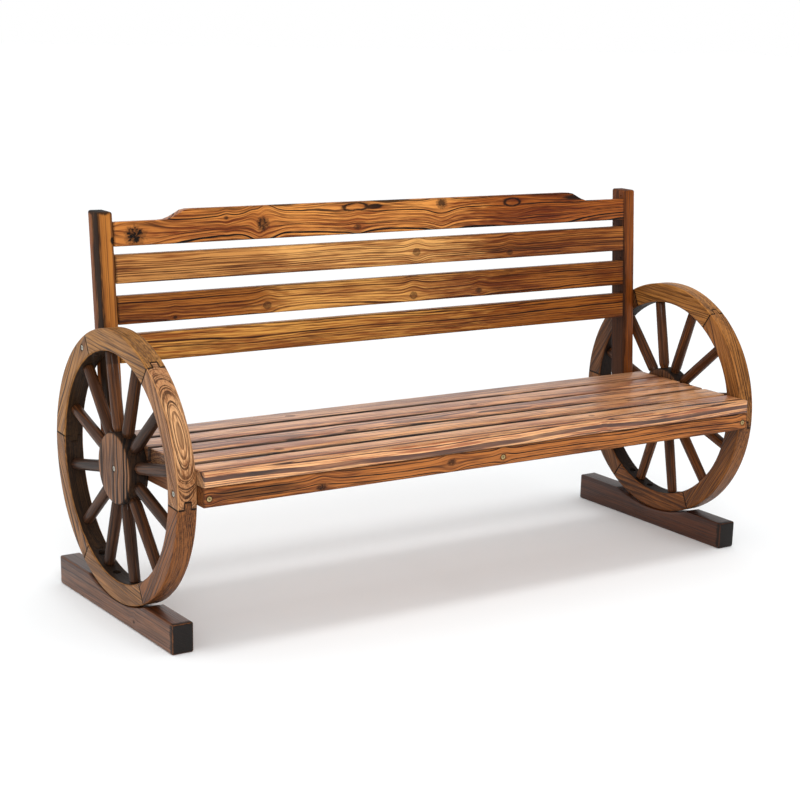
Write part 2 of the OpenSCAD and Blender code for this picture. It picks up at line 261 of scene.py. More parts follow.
def fade(value, low, high, end=0.0):
    """A soft step down from one."""
    return ramp(value, low, high, 1.0, end)


def speckle(vector, along, across, seed, detail=2.0, rough=0.5):
    """Noise from -0.5 to 0.5, with so many patches to a metre along the grain and across it."""
    stretched = vector_calc("MULTIPLY", vector, (along, across, across))
    made = put(tree_of(vector), "TexNoise",
               {"Vector": stretched, "W": seed, "Scale": 1.0, "Detail": detail, "Roughness": rough,
                "Distortion": 0.0}, noise_dimensions="4D")
    return Number(made.outputs["Fac"]) - 0.5


def blend(share, first, second, way="MIX"):
    """Mixes two colours."""
    return put(tree_of(share, first, second), "Mix", {0: share, 6: first, 7: second},
               data_type="RGBA", blend_type=way).outputs[2]


def new_group(name, inputs, outputs):
    """A shader node group with named sockets: its tree, what it takes and what it gives."""
    tree = bpy.data.node_groups.new(name, "ShaderNodeTree")
    for way, kinds in (("INPUT", inputs), ("OUTPUT", outputs)):
        for kind, labels in kinds.items():
            for label in labels:
                tree.interface.new_socket(label, in_out=way, socket_type="NodeSocket" + kind)
    taken = {s.name: s for s in tree.nodes.new("NodeGroupInput").outputs}
    taken.update({label: Number(taken[label]) for label in inputs.get("Float", ())})
    return tree, taken, tree.nodes.new("NodeGroupOutput").inputs


# growth rings of a log whose heart runs beside the board: the vector is along
# the grain, across the board and into it
rings, taken, given = new_group(
    "fir_rings",
    {"Vector": ("Vector", "Heart"), "Float": ("Ring", "Wander", "Bold", "Seed")},
    {"Float": ("Late", "Line", "Patch", "Fibre", "Streak")})
spot, bold, seed, wander = taken["Vector"], taken["Bold"], taken["Seed"], taken["Wander"]
along, across, into = split(vector_calc("SUBTRACT", spot, taken["Heart"]))
slow = speckle(spot, 2.6, 9, seed, 1.0)
quick = speckle(spot, 15, 60, seed + 5.0)
radius = calc("SQRT", across ** 2.0 + into ** 2.0) + slow * (wander * 4.0) + quick * (wander * 0.5)
years = radius / taken["Ring"]
pace = put(rings, "TexNoise", {"W": years * 0.4 + seed, "Scale": 1.0, "Detail": 1.0}, noise_dimensions="1D")
years = years + Number(pace.outputs["Fac"]) * 2.4
year, season = calc("FLOOR", years), calc("FRACT", years)
luck = Number(put(rings, "TexWhiteNoise", {"W": year + seed * 17.3}, noise_dimensions="1D").outputs["Value"])
onset = 0.84 - bold * (0.15 + luck * 0.5)
late = ramp(season, onset, onset + 0.2) * fade(season, 0.93, 1.0)
strength = highest(0.22 + luck ** 1.6 * 0.95, (bold - 0.8) * 3.0)
faint = 0.85 + speckle(spot, 7, 70, seed + 2.0) * 1.4
fibre = speckle(spot, 22, 1100, seed + 13.0, 3.0, 0.6)
coarse = speckle(spot, 10, 300, seed + 15.0, 2.0, 0.6)
fill(given, {
    "Late": late,
    "Line": calc("MULTIPLY", late * strength, faint, clamp=True),
    "Patch": speckle(spot, 3.2, 19, seed + 9.0, 3.0, 0.55) + season * 0.16 + 0.42,
    "Fibre": fibre * 0.5 + coarse * 0.9 + 0.5,
    "Streak": ramp(speckle(spot, 6, 210, seed + 18.0, 3.0, 0.65), 0.04, 0.17)})

# a branch that grew through the board: the grain parts and flows round it, and a
# pale one has kept its colour inside a dark outline
knot, taken, given = new_group(
    "fir_knot",
    {"Vector": ("Vector", "At", "Before"), "Float": ("Radius", "Long", "Sway", "Core")},
    {"Vector": ("Vector", "Marks")})
spot, size, core = taken["Vector"], taken["Radius"], taken["Core"]
along, across, into = split(vector_calc("SUBTRACT", spot, taken["At"]))
push = size * taken["Sway"]
near = calc("EXPONENT", abs(along / (size * taken["Long"] * 2.3)) ** 1.7 * -1.0)
apart = push * near + 0.00002
tight = calc("TANH", across / (apart * 1.5))
shove = apart * tight / (abs(across / (push * 5.0)) ** 2.0 + 1.0)
squeezed = along / taken["Long"]
rho = calc("SQRT", squeezed * squeezed + across * across)
way = join(squeezed / (rho + 0.0001), across / (rho + 0.0001), rho * 25.0)
rays = speckle(way, 3.4, 3.4, size, 2.0, 0.6) * (core * 1.5)
warp = speckle(spot, 70, 90, 3.0, 1.0) + speckle(spot, 260, 320, 4.0) * 0.9
share = rho / size + (rays + warp * 0.35)
inside = fade(share, 0.7, 1.1) * core
outline = ramp(share, 0.65, 0.95) * fade(share, 1.05, 1.35) * (1.0 - core * 0.55)
around = near * (1.0 - tight * tight)
fill(given, {
    "Vector": vector_calc("ADD", spot, join(0.0, shove * -1.0, 0.0)),
    "Marks": vector_calc("MAXIMUM", join(inside, outline, around), taken["Before"])})

# distance from the nearest long edge of a bar, whose middle is the origin
bar_edge, taken, given = new_group("bar_edge", {"Vector": ("Vector", "Half")}, {"Float": ("Depth",)})
a, b, c = split(vector_calc("SUBTRACT", taken["Half"], vector_calc("ABSOLUTE", taken["Vector"])))
fill(given, {"Depth": calc("MINIMUM", highest(a, b), highest(calc("MINIMUM", a, b), c))})

# a burn or a stain with ragged edges, about a place and as large as its size
burn_mark, taken, given = new_group(
    "burn_mark", {"Vector": ("Vector", "At", "Size"), "Float": ("Amount", "Before")}, {"Float": ("Mask",)})
spot = taken["Vector"]
off = vector_calc("DIVIDE", vector_calc("SUBTRACT", spot, taken["At"]), taken["Size"])
far = Number(put(burn_mark, "VectorMath", {0: off}, operation="LENGTH").outputs["Value"])
torn = speckle(spot, 14, 90, 7.0, 3.0) * 1.1 + speckle(spot, 40, 700, 8.0) * 0.6
fill(given, {"Mask": highest(taken["Before"], fade(far + torn, 0.7, 1.15) * taken["Amount"])})

# burnt, brushed and stained fir: the light early wood, the brown late wood, the
# scorched lines and patches, the rubbed arrises lightened past the early wood as a
# painted highlight, and the height of the relief
burnt_fir, taken, given = new_group(
    "burnt_fir",
    {"Vector": ("Vector", "Knot"), "Color": ("Early", "Stain", "Dark", "Char"),
     "Float": ("Late", "Line", "Patch", "Fibre", "Streak", "Depth", "Scorch", "Stained", "Edge Burn", "Seed",
               "Soot", "Shade", "Contrast", "Wear And Highlight")},
    {"Color": ("Color",), "Float": ("Roughness", "Height")})
spot, seed, depth = taken["Vector"], taken["Seed"], taken["Depth"]
early, fibre, contrast = taken["Early"], taken["Fibre"], taken["Contrast"]
inside, outline, around = split(taken["Knot"])
uneven = (taken["Patch"] - 0.5) * 3.4 + (fibre - 0.5) * 4.0
soak = calc("ADD", uneven * contrast, taken["Stained"], clamp=True)
drawn = taken["Line"] * (1.0 - around * 0.75)
heat = speckle(spot, 4, 26, seed + 21.0, 3.0, 0.6) * 1.4 + taken["Scorch"]
ragged = speckle(spot, 30, 160, seed + 25.0, 3.0, 0.6)
crack = speckle(spot, 150, 200, seed + 29.0, 3.0, 0.6)
burnt_lines = ramp(drawn, 0.2, 0.8) * ramp(heat, 0.1, 0.5)
burnt_reach, bare_lit_reach = (0.0005, 0.0045), (0.0012, 0.0030)
burnt_edge = fade(depth + ragged * 0.008, *burnt_reach) * taken["Edge Burn"]
burnt_heart = inside * fade(crack, -0.02, 0.14, 0.6)
sooty = highest(burnt_lines, burnt_edge, outline * 0.92, burnt_heart, taken["Soot"])
bare_lit = fade(depth + ragged * 0.004, *bare_lit_reach) * taken["Wear And Highlight"]
colour = blend(soak, early, taken["Stain"])
colour = blend(taken["Streak"] * (contrast * 0.7), colour, taken["Dark"])
colour = blend(drawn * 0.95, colour, taken["Dark"])
colour = blend(around * 0.3, colour, taken["Stain"])
# Shade multiplies in real stains and the painted shade at the right ends of the boards
colour = blend(taken["Shade"], colour, (0.48, 0.32, 0.20, 1), "MULTIPLY")
colour = blend(sooty, colour, taken["Char"])
# rubbed arrises turn a golden tone brighter than the early wood: partly bare wood, partly a painted highlight
colour = blend(bare_lit, colour, blend(1.0, early, (1.45, 1.35, 1.2, 1), "MULTIPLY"))
fill(given, {
    "Color": colour,
    "Roughness": sooty * 0.4 + fibre * 0.2 + 0.3,
    "Height": taken["Late"] * 0.7 + fibre * 0.5 - sooty * 0.4})


def grain_turn(along, across):
    """The turn that brings X to the grain and Y across the board's face."""
    along, across = Vector(along).normalized(), Vector(across).normalized()
    return Matrix((along, across, along.cross(across))).transposed().to_euler()


def burn(spot, burns, before):
    """Adds burns or stains, each a place, a size and an amount, to those before them."""
    for at, size, amount in burns:
        mark = {"Vector": spot, "At": at, "Size": size, "Amount": amount, "Before": before}
        before = put(tree_of(spot), "Group", mark, node_tree=burn_mark).outputs["Mask"]
    return before


# how deep a burn reaches in from a rim's round faces, and from a bar's ends
face_reach, end_reach = (0.0005, 0.004), (0.001, 0.005)


def fir(name, middle, turn, half, early, stain, dark, heart, ring, seed, char=(22, 15, 11), own=None,
        wander=0.006, bold=0.5, contrast=1.0, scorch=0.3, stained=0.5, edge_burn=0.3, end_burn=0.5,
        inner_burn=0.0, outer_burn=0.0, wear_and_highlight=0.0, knots=(), marks=(), stains_and_shade=(), relief=0.0008, coat=0.06,
        gloss=0.22, shine=0.12, edge_kind=bar_edge, joints=()):
    """Varnished burnt fir for one piece, with its grain, its tones, its knots and its burns.

    The pattern is laid about the piece's middle and turned to its grain, or follows an
    attribute of its own. A knot is its place, its radius, how long it is for its width,
    how far it pushes the grain aside and how dark its heart is. Marks are burns, stains
    and painted shade darken the wood, and joints are drawn as lines, each by its group.
    """
    material = bpy.data.materials.new(name)
    material.use_nodes = True
    tree = material.node_tree
    if own:
        spot = put(tree, "Attribute", attribute_name=own).outputs["Vector"]
    else:
        place = put(tree, "TexCoord").outputs["Object"]
        spot = put(tree, "Mapping", {"Vector": place, "Location": middle, "Rotation": turn},
                   vector_type="TEXTURE").outputs[0]
    flow, branches = spot, None
    for at, size, long, *more in knots:
        sway, core = more or (1.7, 1.0)
        one = put(tree, "Group", {"Vector": flow, "At": (*at, 0), "Radius": size, "Long": long,
                                  "Sway": sway, "Core": core, "Before": branches}, node_tree=knot)
        flow, branches = one.outputs["Vector"], one.outputs["Marks"]
    wood = put(tree, "Group", {"Vector": flow, "Heart": heart, "Ring": ring, "Wander": wander,
                               "Bold": bold, "Seed": seed}, node_tree=rings)
    edge = put(tree, "Group", {"Vector": spot, "Half": half}, node_tree=edge_kind).outputs
    if edge_kind is bar_edge:
        soot = fade(half[0] - abs(split(spot)[0]), *end_reach) * end_burn
    else:
        soot = highest(fade(edge["Inner"], *face_reach) * inner_burn,
                       fade(edge["Outer"], *face_reach) * outer_burn)
    for kind, ends, amount in joints:
        lines = put(tree, "Group", {"Vector": spot, **ends}, node_tree=kind)
        soot = highest(soot, Number(lines.outputs["Mask"]) * amount)
    # the stains bring in real stains and the painted shade at the right of the back boards and the seat
    look = put(tree, "Group", {
        **{key: wood.outputs[key] for key in ("Late", "Line", "Patch", "Fibre", "Streak")},
        "Knot": branches, "Depth": edge["Depth"], "Vector": spot,
        "Early": tint(*early), "Stain": tint(*stain), "Dark": tint(*dark), "Char": tint(*char),
        "Scorch": scorch, "Stained": stained, "Edge Burn": edge_burn, "Seed": seed,
        "Soot": burn(spot, marks, soot), "Shade": burn(spot, stains_and_shade, 0.0),
        "Contrast": contrast, "Wear And Highlight": wear_and_highlight}, node_tree=burnt_fir)
    bump = put(tree, "Bump", {"Height": look.outputs["Height"], "Distance": relief, "Strength": 1.0})
    fill(tree.nodes["Principled BSDF"].inputs, {
        "Base Color": look.outputs["Color"], "Roughness": look.outputs["Roughness"],
        "Specular IOR Level": shine, "Coat Weight": coat, "Coat Roughness": gloss,
        "Normal": bump.outputs[0]})
    return material


def paint(piece, material):
    """Gives a piece its one material."""
    piece.data.materials.clear()
    piece.data.materials.append(material)


def dress(piece, material):
    """Gives a piece its material."""
    paint(piece, material)


def bar_frame(node):
    """Low and high corners, middle and half sizes of a node's box."""
    low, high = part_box(node)
    middle = tuple((a + b) / 2 for a, b in zip(low, high))
    half = tuple((b - a) / 2 for a, b in zip(low, high))
    return low, high, middle, half


X, Y, Z = (1, 0, 0), (0, 1, 0), (0, 0, 1)
axle_turn = (0, math.pi / 2, 0)
hollow_radius, hollow_long, hollow_y, hollow_z = 0.345, 0.2, 0.016, 0.38257
foot_looks = {
    "left": (3.0, (126, 78, 43), (80, 46, 26), (34, 20, 15), (((-0.09, -0.012), 0.003, 1.3),)),
    "right": (8.0, (84, 43, 19), (52, 26, 13), (24, 14, 10), ())}
for side, (seed, early, stain, dark, knots) in foot_looks.items():
    node = side + "_foot"
    low, high, middle, half = bar_frame(node)
    foot = sawn_bar(low, high, along=1, cuts=60)
    hollow_middle = (middle[0], hollow_y, hollow_z)
    cut_away(foot, cylinder(hollow_radius, hollow_long, hollow_middle, axle_turn, sides=256))
    ease(foot, width=0.005, steps=4)
    brush(foot, side + "_runner_foot", node, depth=0.0006, seed=seed, grain=(30, 6, 30))
    wood = fir(node, middle, grain_turn(Y, Z), (half[1], half[2], half[0]), early, stain, dark,
               heart=(0, 0.09, 0.05), ring=0.007, bold=0.3, contrast=0.75, scorch=0.15, stained=0.45,
               edge_burn=0.5, end_burn=1.0, seed=seed, coat=0.2, shine=0.25, wear_and_highlight=0.5, knots=knots,
               stains_and_shade=(((0, half[2], 0), (3.0, 0.010, 0.2), 0.8),),
               marks=(((-half[1], 0, 0), (0.012, 0.1, 0.1), 0.85),))
    dress(foot, wood)

# Each wheel rim is six felloes, sawn from 40 mm fir so that the grain runs along
# each one. A tongue at one end of a felloe fills a slot in the next, and shows
# as a small U on the tread. The arrises are rounded and the inside is charred.

wheel_x, wheel_y, wheel_z = 0.690, 0.010, 0.304
rim_outer, rim_inner, rim_half = 0.266, 0.223, 0.020
arris = 0.004
tongue_half = 0.0067
first_joint = math.radians(4)
felloe_turn = math.radians(60)
tongue_turn = math.radians(3.05)
seam = 0.0016
rear_screw_turn, front_screw_turn, screw_radius = math.radians(58.26), math.radians(177.8), 0.247
sunk_width, sunk_deep = 0.0118, 0.0014
bolt_places = (0.0478, 0.1128)
bolt_sunk_width, bolt_sunk_deep, bolt_clear = 0.0148, 0.009, 0.03


def at_wheel(side, turn, radius, out=0.0):
    """A point of a wheel: its turn from the back, its radius, and its place along X."""
    sign = 1 if side == "right" else -1
    return Vector((sign * wheel_x + out, wheel_y + radius * math.cos(turn),
                   wheel_z + radius * math.sin(turn)))


def rim_section():
    """The rim's cross-section as (radius, out), with points where the tongue's sides come."""
    flat, face = (-0.0115, -tongue_half, 0.0, tongue_half, 0.0115), (0.2345, 0.2445, 0.2545)
    inner, outer, out = rim_inner + arris, rim_outer - arris, rim_half - arris

    def corner(radius, out, start):
        turns = [math.radians(start + 22.5 * i) for i in range(5)]
        return [(radius + arris * math.cos(t), out + arris * math.sin(t)) for t in turns]

    points = [(rim_inner, x) for x in reversed(flat)]
    points += corner(inner, -out, 180) + [(r, -rim_half) for r in face] + corner(outer, -out, 270)
    points += [(rim_outer, x) for x in flat]
    points += corner(outer, out, 0) + [(r, rim_half) for r in reversed(face)] + corner(inner, out, 90)
    return points


def bring_in(name, data):
    """A new object in the scene."""
    made = bpy.data.objects.new(name, data)
    bpy.context.scene.collection.objects.link(made)
    return made


def close_up():
    """Merges the doubles of the selected mesh and turns its faces outwards."""
    bpy.ops.mesh.remove_doubles(threshold=0.00001)
    bpy.ops.mesh.normals_make_consistent(inside=False)
    bpy.ops.object.mode_set(mode="OBJECT")


def spin_end(piece, turn, side, steps, test):
    """Spins the faces that pass a test round the wheel's axle."""
    choose(piece, faces=test)
    bpy.ops.mesh.spin(steps=steps, angle=-turn, center=at_wheel(side, 0, 0), axis=X, dupli=False)
    bpy.ops.object.mode_set(mode="OBJECT")


def shape_felloe(side, start, end):
    """Spins the rim's section into a felloe, then its tongue and the cheeks of its slot."""
    section = rim_section()
    inner_low, inner_high = section.index((rim_inner, -tongue_half)), section.index((rim_inner, tongue_half))
    outer_low, outer_high = section.index((rim_outer, -tongue_half)), section.index((rim_outer, tongue_half))
    cheek_low = list(range(inner_low, outer_low + 1))
    cheek_high = list(range(outer_high, len(section))) + list(range(0, inner_high + 1))
    tongue = list(range(inner_high, inner_low + 1)) + list(range(outer_low, outer_high + 1))
    first, last = start + seam / 2, end - tongue_turn - seam / 2
    mesh = bpy.data.meshes.new("felloe")
    mesh.from_pydata([at_wheel(side, first, r, x) for r, x in section], [], [cheek_low, tongue, cheek_high])
    piece = bring_in("felloe", mesh)
    spin_end(piece, last - first, side, 40, lambda f: True)
    rim_middle = (rim_inner + rim_outer) / 2
    first_normal, here = Vector((0, math.sin(first), -math.cos(first))), at_wheel(side, first, rim_middle)
    last_normal, there = Vector((0, -math.sin(last), math.cos(last))), at_wheel(side, last, rim_middle)

    def on_cap(face, place, normal):
        off = (face.calc_center_median() - place).dot(normal)
        return abs(off) < 1e-4 and abs(face.normal.dot(normal)) > 0.999

    def amid(face):
        return abs(abs(face.calc_center_median().x) - wheel_x) < tongue_half / 2

    spin_end(piece, -(tongue_turn - seam), side, 3, lambda f: on_cap(f, here, first_normal) and amid(f))
    spin_end(piece, tongue_turn, side, 3, lambda f: on_cap(f, there, last_normal) and not amid(f))
    choose(piece, faces=lambda f: True)
    close_up()
    return piece


def drill(piece, mouth, way, width=sunk_width, deep=sunk_deep):
    """Cuts a round hole, from its mouth inwards."""
    turn = Vector(Z).rotation_difference(Vector(way)).to_euler()
    cut_away(piece, cylinder(width / 2, deep * 2, mouth, turn))


def screw_ring(x, y):
    """The dark ring that wet wood leaves round a screw head, drawn as a small round knot."""
    return (x, y), 0.0066, 1.0, 1.0, 1.0


# distance from the nearest edge of a rim, and from its inner and outer faces, when
# the origin is the wheel's middle
rim_edge, taken, given = new_group(
    "rim_edge", {"Vector": ("Vector", "Half")}, {"Float": ("Depth", "Inner", "Outer")})
x, y, z = split(taken["Vector"])
inner_radius, outer_radius, half_thick = split(taken["Half"])
span = calc("SQRT", x ** 2.0 + y ** 2.0)
from_inner, from_outer = span - inner_radius, outer_radius - span
fill(given, {
    "Depth": highest(calc("MINIMUM", from_inner, from_outer), half_thick - abs(z)),
    "Inner": from_inner,
    "Outer": from_outer})

# dark lines at a felloe's joints: across its faces at both ends, and round the
# tongue at one end and the slot at the other
felloe_joint, taken, given = new_group(
    "felloe_joint", {"Vector": ("Vector",), "Float": ("End", "Tongue", "Cheek")}, {"Float": ("Mask",)})
x, y, z = split(taken["Vector"])
end, tongue, cheek = taken["End"], taken["Tongue"], taken["Cheek"]
swing = calc("ARCTAN2", x, y)
span = calc("SQRT", x ** 2.0 + y ** 2.0)
tip = swing + (end + tongue)
root = swing - (end - tongue)
beside = calc("GREATER_THAN", abs(z), cheek)
past = highest(calc("GREATER_THAN", root, 0.0), calc("LESS_THAN", tip - tongue, 0.0))
across_line, along_line = (0.0012, 0.0024), (0.0008, 0.0020)
across_ends = fade(abs(abs(swing) - end) * span, *across_line) * beside
across_tips = fade(calc("MINIMUM", abs(tip), abs(root)) * span, *across_line) * (1.0 - beside)
along_cheeks = fade(abs(abs(z) - cheek), *along_line) * past
fill(given, {"Mask": highest(across_ends, across_tips, along_cheeks)})

felloe_looks = {
    "left": [((170, 118, 62), (104, 66, 33), (0, 0.215, -0.06)),
             ((170, 118, 60), (106, 68, 33), (0, 0.262, -0.075)),
             ((210, 158, 110), (136, 86, 51), (0, 0.276, 0.001)),
             ((134, 82, 42), (80, 46, 24), (0, 0.20, -0.08)),
             ((164, 112, 60), (102, 66, 34), (0, 0.255, -0.07)),
             ((166, 114, 64), (102, 66, 36), (0, 0.225, -0.065))],
    "right": [((116, 72, 38), (62, 38, 22), (0, 0.215, 0.06)),
              ((182, 124, 62), (118, 74, 34), (0, 0.262, 0.075)),
              ((166, 108, 52), (102, 62, 29), (0, 0.215, 0.06)),
              ((136, 84, 40), (82, 48, 24), (0, 0.20, 0.08)),
              ((140, 84, 40), (82, 48, 24), (0, 0.255, 0.07)),
              ((126, 78, 40), (70, 43, 23), (0, 0.225, 0.065))]}
plain_look = dict(dark=(50, 28, 16), ring=0.0038, bold=0.5, stained=0.45, relief=0.0010)
# the front felloe of the left wheel was cut close under the bark, and its rings
# come out on the tread as loops
looped_look = dict(dark=(56, 31, 18), ring=0.0030, bold=1.02, stained=0.25, relief=0.0018, stains_and_shade=(
    ((0, 0.245, 0.0225), (0.5, 0.2, 0.0065), 0.5),
    ((-0.118, 0.235, 0), (0.060, 0.08, 0.2), 0.5),
    ((0.118, 0.235, 0), (0.052, 0.08, 0.2), 0.5)))
joint_ends = {"End": felloe_turn / 2, "Tongue": tongue_turn, "Cheek": tongue_half}
screw_turns = {0: rear_screw_turn, 2: front_screw_turn}
for side, outside, seed in (("left", -1, 20.0), ("right", 1, 30.0)):
    for index, (early, stain, heart) in enumerate(felloe_looks[side]):
        node = "%s_felloe_%d" % (side, index + 1)
        start = first_joint + index * felloe_turn
        end = start + felloe_turn
        middle_turn = (start + end) / 2
        radial = (0, math.cos(middle_turn), math.sin(middle_turn))
        tangent = (0, -math.sin(middle_turn), math.cos(middle_turn))
        felloe = shape_felloe(side, start, end)
        knots, burns = [], []
        if index in screw_turns:
            turn = screw_turns[index]
            drill(felloe, at_wheel(side, turn, screw_radius, outside * rim_half), X)
            knots.append(screw_ring(screw_radius * math.sin(turn - middle_turn),
                                    screw_radius * math.cos(turn - middle_turn)))
        for back in bolt_places if index == 4 else ():
            down = math.sqrt(rim_inner ** 2 - (back - wheel_y) ** 2)
            above = wheel_z - down - bolt_sunk_deep + bolt_clear
            drill(felloe, (outside * wheel_x, back, above), Z, bolt_sunk_width, bolt_clear)
            mouth = Vector((0, back - wheel_y, -down))
            burns.append(((mouth.dot(tangent), mouth.dot(radial) + 0.004, 0), (0.016, 0.014, 0.015), 0.95))
        ease(felloe, width=0.0006, steps=2, angle=40)
        brush(felloe, "%s_rim_felloe_%d" % (side, index + 1), node, depth=0.0005,
              seed=index * 2.0 + outside, grain=(18, 18, 18))
        look = looped_look if (side, index) == ("left", 2) else plain_look
        wood = fir(node, at_wheel(side, 0, 0), grain_turn(tangent, radial), (rim_inner, rim_outer, rim_half),
                   early, stain, heart=heart, seed=seed + index, wander=0.0024, contrast=0.9, scorch=0.1,
                   inner_burn=0.92, wear_and_highlight=0.5, knots=knots, marks=burns, coat=0.08, edge_kind=rim_edge,
                   joints=[(felloe_joint, joint_ends, 0.9)], **look)
        dress(felloe, wood)

# The hubs are turned blocks of fir, 140 mm across and as thick as the rim, each
# screwed through its middle to a side rail. Their grain stands upright, and the
# burnt late wood shows as dark and blue-black stripes.

hub_radius = 0.070
for side, outside, seed in (("left", -1, 41.0), ("right", 1, 47.0)):
    hub = cylinder(hub_radius, 2 * rim_half, at_wheel(side, 0, 0), axle_turn, sides=128)
    # rings in its two round ends, for the relief
    choose(hub, faces=lambda f: len(f.verts) > 8)
    for ring in range(2):
        bpy.ops.mesh.inset(thickness=0.02)
    bpy.ops.object.mode_set(mode="OBJECT")
    ease(hub, width=0.004, steps=4)
    drill(hub, at_wheel(side, 0, 0, outside * rim_half), X)
    brush(hub, side + "_wheel_hub", side + "_hub", depth=0.0004, seed=seed, grain=(30, 30, 8))
    wood = fir(side + "_hub", at_wheel(side, 0, 0), grain_turn(Z, Y), (0.0, hub_radius, rim_half),
               (146, 95, 52), (76, 45, 25), (24, 18, 16), heart=(0, 0.03, 0.11), ring=0.0085, seed=seed,
               bold=0.95, contrast=1.15, scorch=0.42, stained=0.6, edge_burn=0.5, outer_burn=0.9,
               knots=[screw_ring(0.0, 0.0)], edge_kind=rim_edge)
    dress(hub, wood)

# The twenty-four spokes are turned fir bars with rounded shoulders, charred dark
# brown all round. Each is necked where it enters the hub, and a tenon at its
# other end sits in the rim.

spoke_neck = [(0.0500, 0.0), (0.0500, 0.0094), (0.0698, 0.0094)]
spoke_shoulder = [(0.0728, 0.0103), (0.0756, 0.0112), (0.0784, 0.01185), (0.0812, 0.0121), (0.0840, 0.0122)]
spoke_shaft = [(0.1300, 0.0120), (0.1800, 0.0116), (0.2196, 0.0112)]
spoke_foot = [(0.2212, 0.0108), (0.2223, 0.0098), (0.2227, 0.0083), (0.2227, 0.0070)]
spoke_tenon = [(0.2380, 0.0070), (0.2390, 0.0060), (0.2390, 0.0)]


def turn_spoke():
    """A spoke along X, turned from its outline."""
    outline = spoke_neck + spoke_shoulder + spoke_shaft + spoke_foot + spoke_tenon
    mesh = bpy.data.meshes.new("spoke")
    mesh.from_pydata([(x, r, 0) for x, r in outline], [(i, i + 1) for i in range(len(outline) - 1)], [])
    bar = bring_in("spoke", mesh)
    choose(bar, edges=lambda e: True)
    bpy.ops.mesh.spin(steps=32, angle=2 * math.pi, center=(0, 0, 0), axis=X, dupli=False)
    bpy.ops.mesh.select_all(action="SELECT")
    close_up()
    return bar


def copy_of(pattern):
    """A copy with a mesh of its own."""
    return bring_in(pattern.name, pattern.data.copy())


spoke_looks = {"left": (0.0, 0.0, (112, 66, 33), (62, 35, 18), 0.68),
               "right": (1.2, 6.0, (150, 86, 38), (84, 47, 21), 0.58)}
pattern = turn_spoke()
for side, (side_roll, side_shift, early, stain, stained) in spoke_looks.items():
    wood = fir(side + "_spoke_wood", None, None, (1.0, 1.0, 1.0), early, stain, (28, 16, 11),
               heart=(0, 0.03, 0.022), ring=0.0035, seed=60.0, char=(18, 12, 9), own="grain", wander=0.003,
               scorch=0.5, stained=stained, edge_burn=0.0, relief=0.0004, coat=0.25, gloss=0.2)
    for index in range(12):
        spoke = copy_of(pattern)
        roll = Matrix.Rotation(index * 2.4 + side_roll, 3, "X")
        shift = Vector((index * 0.4 + side_shift, 0, 0))
        grain = spoke.data.attributes.new("grain", "FLOAT_VECTOR", "POINT")
        for vertex, mark in zip(spoke.data.vertices, grain.data):
            mark.vector = roll @ vertex.co + shift
        turn = Matrix.Rotation(first_joint + (index + 0.5) * felloe_turn / 2, 4, "X")
        upright = Matrix.Rotation(math.pi / 2, 4, "Z")
        spoke.matrix_world = Matrix.Translation(at_wheel(side, 0, 0)) @ turn @ upright
        brush(spoke, "%s_wheel_spoke_%d" % (side, index + 1), "%s_spoke_%d" % (side, index + 1),
              depth=0.0004, seed=index + 30.0, grain=(25, 25, 25), angle=50)
        dress(spoke, wood)
bpy.data.objects.remove(pattern)

# The seat is five planed fir slats, 66 x 29 mm, with eased arrises, screwed to
# the rails from below. Their tops are a pale tan under varnish, lighter on the front
# slats as a painted sheen and darker towards the right as painted shade, and the
# edges beside the gaps are charred and darkened as painted shade.

# each slat: early, stain and dark tones, seed, how stained, and its knots; the front slats are lighter and
# less stained, as a painted sheen
seat_looks = [
    ((240, 176, 118), (170, 98, 54), (74, 36, 19), 61.0, 0.34, (((0.26, 0.01), 0.004, 1.6, 1.4, 0.6),)),
    ((234, 170, 112), (154, 88, 48), (62, 31, 18), 62.0, 0.40, (((-0.46, -0.012), 0.006, 1.6, 1.4, 0.8),)),
    ((230, 164, 110), (146, 82, 46), (56, 29, 18), 63.0, 0.44, (((-0.255, -0.018), 0.008, 1.8, 1.4, 0.8),)),
    ((230, 164, 110), (146, 82, 46), (56, 29, 18), 64.0, 0.42, (((0.1, -0.01), 0.005, 1.5, 1.4, 0.6),)),
    ((212, 154, 108), (134, 80, 48), (52, 29, 19), 65.0, 0.49, (((-0.3, 0.0), 0.006, 1.7, 1.4, 0.6),))]
seat_half = 0.033
gap_burns = (-0.394, -0.100)
# the seat slats are painted darker towards their right ends, as painted shade
seat_right_shade = (((0.62, 0.0, 0.0), (0.42, 0.2, 0.2), 0.22),)
for index, (early, stain, dark, seed, stained, knots) in enumerate(seat_looks):
    node = "seat_slat_%d" % (index + 1)
    low, high, middle, half = bar_frame(node)
    slat = sawn_bar(low, high, along=0, cuts=90)
    ease(slat, width=0.003)
    brush(slat, "seat_board_%d" % (index + 1), node, depth=0.0006, seed=seed, grain=(5, 40, 40))
    # the edges beside a gap are charred on the left part, and darkened there as painted shade in the gaps
    sides = [-1] * (index > 0) + [1] * (index < 4)
    marks = [((-0.42, side * (seat_half + 0.001), 0), (0.95, 0.005, 0.2), 0.9) for side in sides]
    marks += [((x, -seat_half, 0), (0.030, 0.010, 0.2), 0.95) for x in gap_burns if index == 2]
    wood = fir(node, middle, grain_turn(X, Y), half, early, stain, dark,
               heart=(0, 0.035 - 0.02 * index, -0.06), ring=0.0040, seed=seed, wander=0.004, bold=0.62,
               contrast=1.25, scorch=0.15, stained=stained, edge_burn=0.4, knots=knots, marks=marks,
               stains_and_shade=seat_right_shade, coat=0.4, gloss=0.25, shine=0.45)
    dress(slat, wood)

# Under the slats lie the charred and varnished front apron, and a rear rail, two
# side rails and a middle one of plain sawn fir, all 36 mm high. Three long
# screws go in through the apron.

